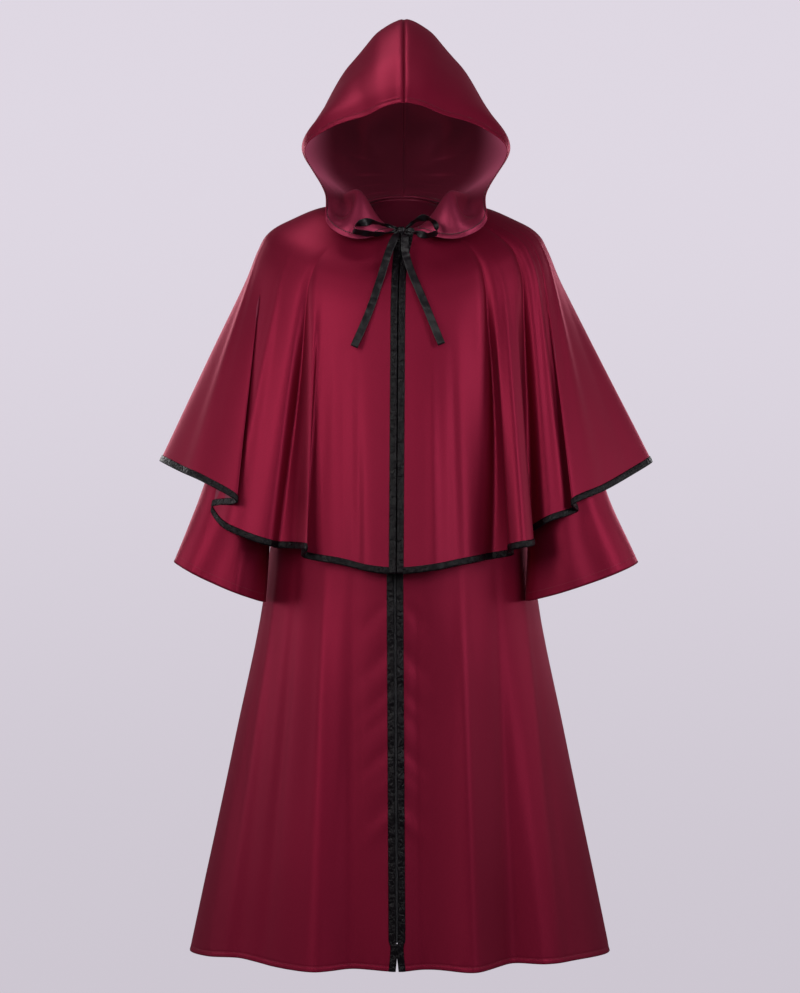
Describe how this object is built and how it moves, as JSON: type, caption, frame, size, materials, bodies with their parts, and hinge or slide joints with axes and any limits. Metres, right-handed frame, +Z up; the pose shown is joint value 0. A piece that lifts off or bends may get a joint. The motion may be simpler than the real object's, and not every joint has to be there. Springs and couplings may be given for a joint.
{
  "type": "hooded cape",
  "caption": "Hooded robe with a shoulder capelet, wide sleeves, a front zip and a ribbon tie, in dark red satin with black bindings.",
  "frame": {"origin": "middle of the neck, level with the inner ends of the shoulders, where the wearer holds it up", "axes": "+Z up, -Y the garment's front, +X towards the viewer's right"},
  "size_m": [0.8204, 0.3948, 1.5452],
  "materials": {
    "red_satin": "satin weave, soft sheen",
    "black_satin": "satin binding and ribbon",
    "zip_tape": "woven tape with coil teeth",
    "zip_metal": "bright cast slider",
    "zip_dark_metal": "black enamel pull tab"
  },
  "bodies": {
    "garment": {"robe_front_left": "red_satin", "robe_front_right": "red_satin", "robe_back": "red_satin", "sleeve_left": "red_satin", "sleeve_right": "red_satin", "cape_front_left": "red_satin", "cape_front_right": "red_satin", "cape_back": "red_satin", "cape_hem_binding_left": "black_satin", "cape_hem_binding_right": "black_satin", "cape_hem_binding_back": "black_satin", "cape_edge_binding_left": "black_satin", "robe_edge_binding_left": "black_satin", "cape_edge_binding_right": "black_satin", "robe_edge_binding_right": "black_satin", "hood_left": "red_satin", "hood_right": "red_satin", "zip_tape_left": "zip_tape", "zip_tape_right": "zip_tape", "zip_chain": "zip_tape", "zip_bottom_stop": "zip_metal", "zip_slider": "zip_metal", "tie_knot": "black_satin", "tie_loop_left": "black_satin", "tie_loop_right": "black_satin", "tie_tail_left": "black_satin", "tie_tail_right": "black_satin", "tie_lead_left": "black_satin", "tie_lead_right": "black_satin"},
    "pull_tab": {"zip_pull_tab": "zip_dark_metal"}
  },
  "joints": [
    {"name": "pull_tab_swing", "type": "hinge", "parent": "garment", "child": "pull_tab", "pos_m": [0.0005, -0.10412, -0.06077], "axis": [-1, 0, 0], "range_deg": [0, 60]}
  ]
}
